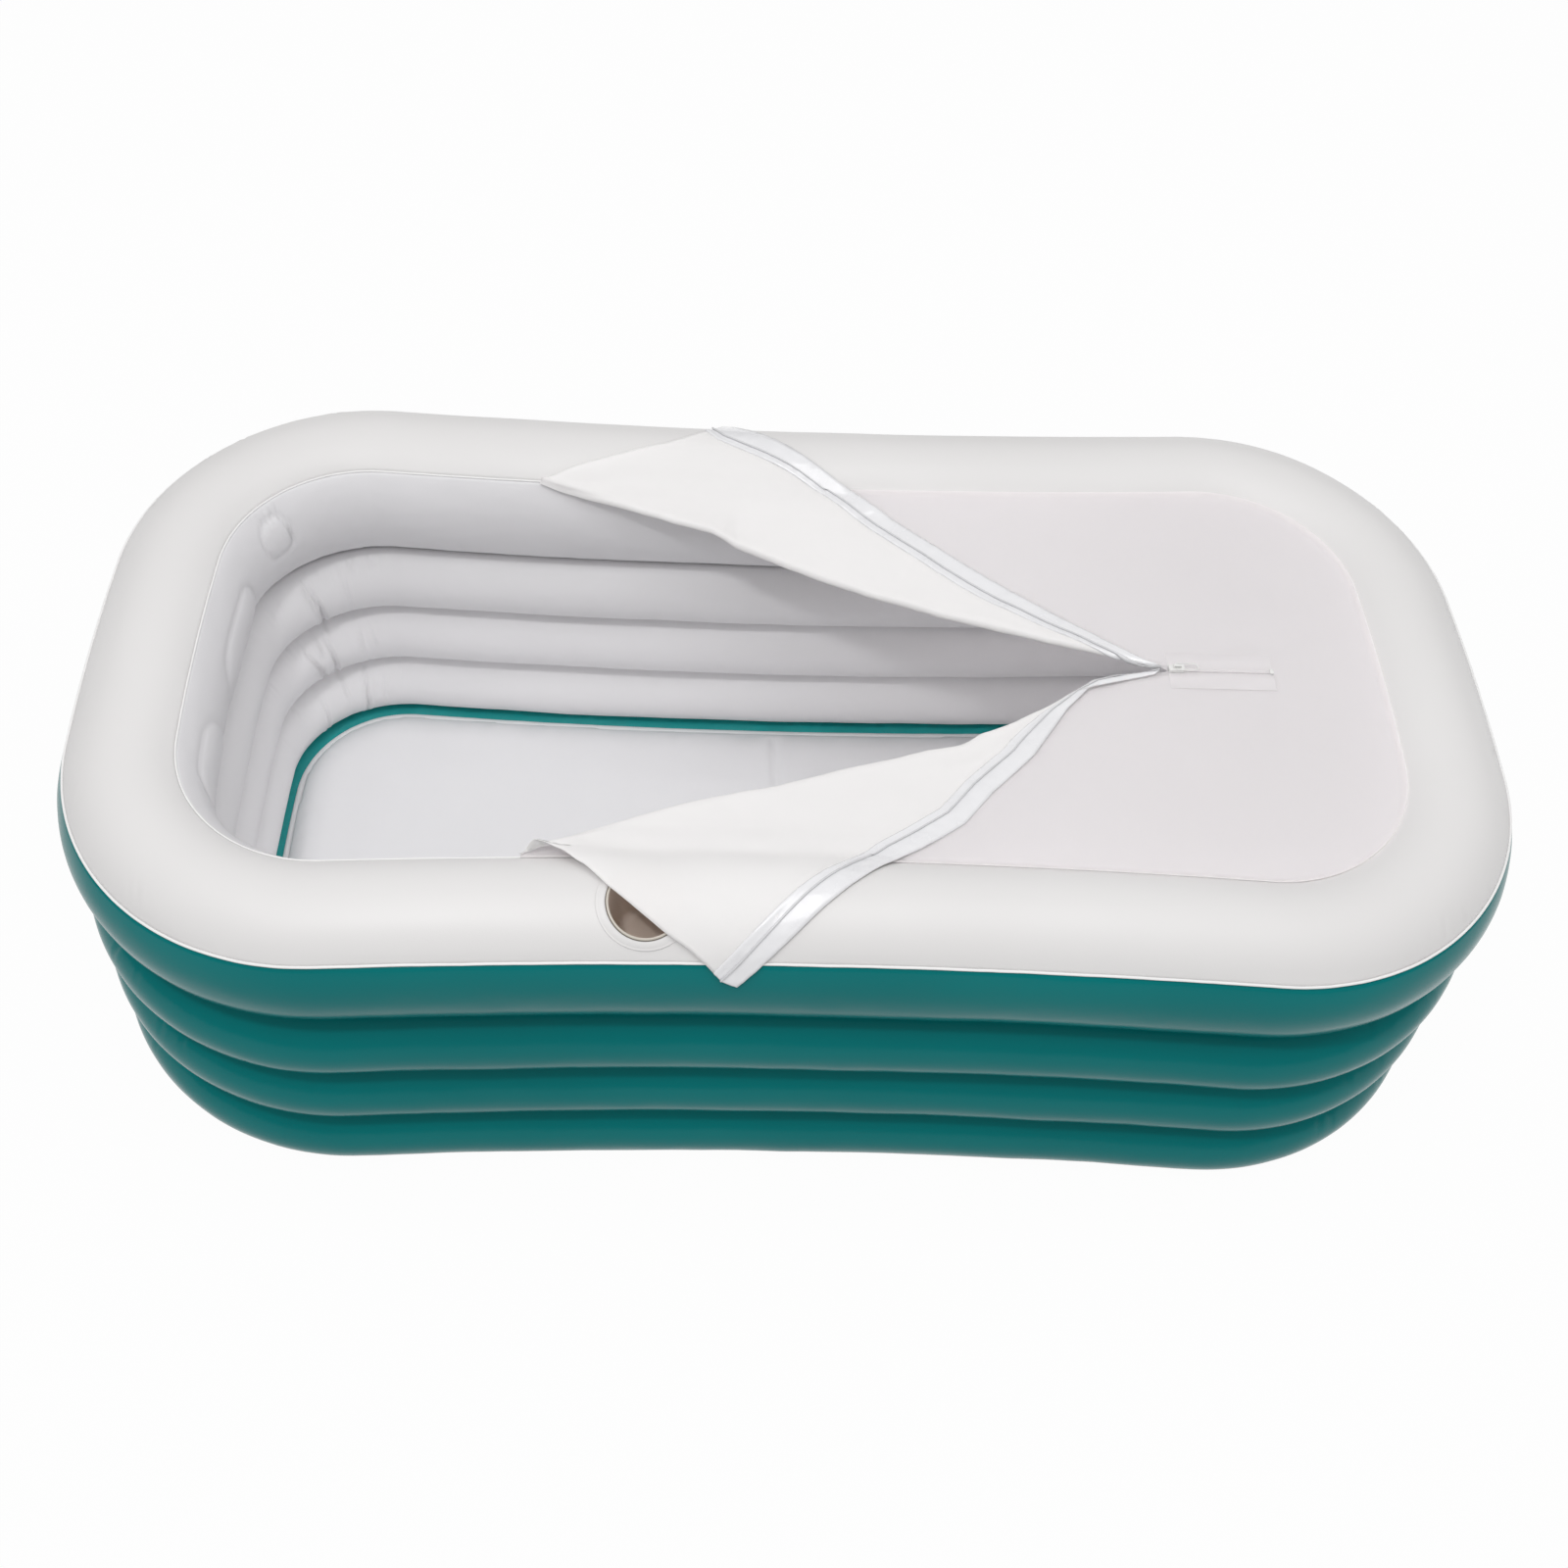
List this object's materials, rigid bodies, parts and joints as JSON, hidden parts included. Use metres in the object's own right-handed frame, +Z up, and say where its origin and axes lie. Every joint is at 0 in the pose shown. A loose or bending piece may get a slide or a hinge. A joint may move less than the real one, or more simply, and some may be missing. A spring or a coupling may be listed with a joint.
{
  "type": "inflatable bathtub",
  "caption": "Waisted inflatable bathtub of stacked air rings with a floor cushion, cup holder, drain and a zipped cover folded open at the head end.",
  "frame": {"origin": "middle of the footprint, on the floor that the tub stands on", "axes": "+X along the tub from the open head end to the covered foot end, +Y across to the back, +Z up"},
  "size_m": [1.6176, 0.8376, 0.4747],
  "materials": {
    "teal_film": "satin PVC film",
    "white_film": "satin PVC film",
    "inner_film": "slightly translucent PVC film",
    "floor_film": "matt white PVC film",
    "cover_film": "soft white cover film",
    "clear_tape": "glossy milky zip tape",
    "beige_lip": "satin",
    "brown_cup": "matt film seen in shade",
    "white_plastic": "moulded plastic"
  },
  "bodies": {
    "tub": {"base_sheet": "teal_film", "outer_wall": "teal_film", "inner_wall": "inner_film", "top_rim": "white_film", "web_lower": "inner_film", "web_middle": "inner_film", "web_upper": "inner_film", "outer_seam": "white_film", "inner_seam": "white_film", "floor_cushion": "floor_film", "cover_sheet": "cover_film", "closed_tape_back": "clear_tape", "closed_tape_front": "clear_tape", "closed_rail_back": "clear_tape", "closed_rail_front": "clear_tape", "zip_end_stop": "white_plastic", "cup_holder": "brown_cup", "cup_holder_ring": "white_film", "cup_lip": "beige_lip", "wall_valve_body": "white_plastic", "floor_valve_body": "white_plastic", "drain_sleeve": "white_plastic"},
    "back_flap_body": {"back_flap": "cover_film", "back_flap_tape": "clear_tape", "back_flap_rail": "clear_tape"},
    "front_flap_body": {"front_flap": "cover_film", "front_flap_tape": "clear_tape", "front_flap_rail": "clear_tape"},
    "slider_body": {"zip_slider": "white_plastic"},
    "pull_body": {"pull_loop": "white_plastic"},
    "wall_plug_body": {"wall_valve_plug": "white_plastic"},
    "floor_plug_body": {"floor_valve_plug": "white_plastic"},
    "drain_plug_body": {"drain_plug": "white_plastic"},
    "drain_cap_body": {"drain_cap": "white_plastic"}
  },
  "joints": [
    {"name": "back_flap_fold", "type": "hinge", "parent": "tub", "child": "back_flap_body", "pos_m": [-0.30205, 0.27436, 0.44563], "axis": [0.9354, -0.3535, 0], "range_deg": [0, 105]},
    {"name": "front_flap_fold", "type": "hinge", "parent": "tub", "child": "front_flap_body", "pos_m": [-0.30205, -0.27436, 0.44563], "axis": [-0.9354, -0.3535, 0], "range_deg": [0, 105]},
    {"name": "slider_travel", "type": "slide", "parent": "tub", "child": "slider_body", "axis": [1, 0, 0], "range_m": [0, 0.095]},
    {"name": "pull_swing", "type": "hinge", "parent": "slider_body", "child": "pull_body", "pos_m": [0.433, 0, 0.45262], "axis": [0, -1, 0], "range_deg": [0, 150]},
    {"name": "wall_plug_pull", "type": "slide", "parent": "tub", "child": "wall_plug_body", "axis": [-1, 0, 0], "range_m": [0, 0.018]},
    {"name": "floor_plug_pull", "type": "slide", "parent": "tub", "child": "floor_plug_body", "axis": [0, 0, 1], "range_m": [0, 0.018]},
    {"name": "drain_plug_pull", "type": "slide", "parent": "tub", "child": "drain_plug_body", "axis": [-1, 0, 0], "range_m": [0, 0.025]},
    {"name": "drain_cap_pull", "type": "slide", "parent": "tub", "child": "drain_cap_body", "axis": [1, 0, 0], "range_m": [0, 0.025]}
  ]
}
